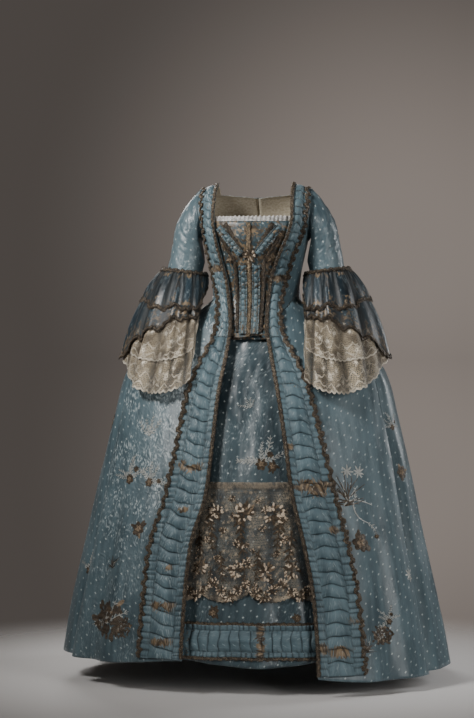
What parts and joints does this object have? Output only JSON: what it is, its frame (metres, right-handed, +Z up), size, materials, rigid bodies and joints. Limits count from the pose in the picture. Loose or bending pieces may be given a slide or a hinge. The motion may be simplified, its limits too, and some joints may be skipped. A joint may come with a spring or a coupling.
{
  "type": "robe a la francaise gown with stomacher and petticoat",
  "caption": "Open silk gown with a pleated sack back, ruched front bands and lace sleeve ruffles over a trimmed petticoat, hollow in its worn form and held at the shoulders",
  "frame": {"origin": "Midway between the tops of the two shoulders, in the mid plane of the gown, where the wearer's shoulders carry it, 1.352 m above the floor the gown is worn over.", "axes": "+Z is up. -Y is the front of the gown, where the stomacher and the petticoat show, so +Y is the sack back. +X is the wearer's left."},
  "size_m": [1.0653, 0.9087, 1.3171],
  "materials": {
    "silk": "slate blue silk with small pale woven dots and scattered brocaded sprays, soft sheen",
    "trim_silk": "the same silk gathered into puffs or flounces, edged with tarnished gold braid",
    "metal_lace": "dull gold metal lace with flower clusters and a scalloped edge",
    "cuff_lace": "cream bobbin lace on an open net, gathered, with scalloped edges",
    "tucker_lace": "narrow off-white gathered lace"
  },
  "bodies": {
    "root": {"bodice_back_left": "silk", "bodice_back_right": "silk", "bodice_front_left": "silk", "bodice_front_right": "silk", "bodice_robing_left": "trim_silk", "bodice_robing_right": "trim_silk", "flounce_lower_left": "trim_silk", "flounce_lower_right": "trim_silk", "flounce_upper_left": "trim_silk", "flounce_upper_right": "trim_silk", "lace_ruffle_long_left": "cuff_lace", "lace_ruffle_long_right": "cuff_lace", "lace_ruffle_upper_left": "cuff_lace", "lace_ruffle_upper_right": "cuff_lace", "neck_tucker": "tucker_lace", "petticoat_back": "silk", "petticoat_front": "silk", "petticoat_lace": "metal_lace", "petticoat_ruche": "trim_silk", "petticoat_side_left": "silk", "petticoat_side_right": "silk", "sack_back": "silk", "skirt_front_left": "silk", "skirt_front_right": "silk", "skirt_robing_left": "trim_silk", "skirt_robing_right": "trim_silk", "skirt_side_left": "silk", "skirt_side_right": "silk", "sleeve_left": "silk", "sleeve_right": "silk", "stomacher": "silk", "stomacher_ruche_left": "trim_silk", "stomacher_ruche_right": "trim_silk", "stomacher_slant_left": "trim_silk", "stomacher_slant_right": "trim_silk"}
  },
  "joints": []
}
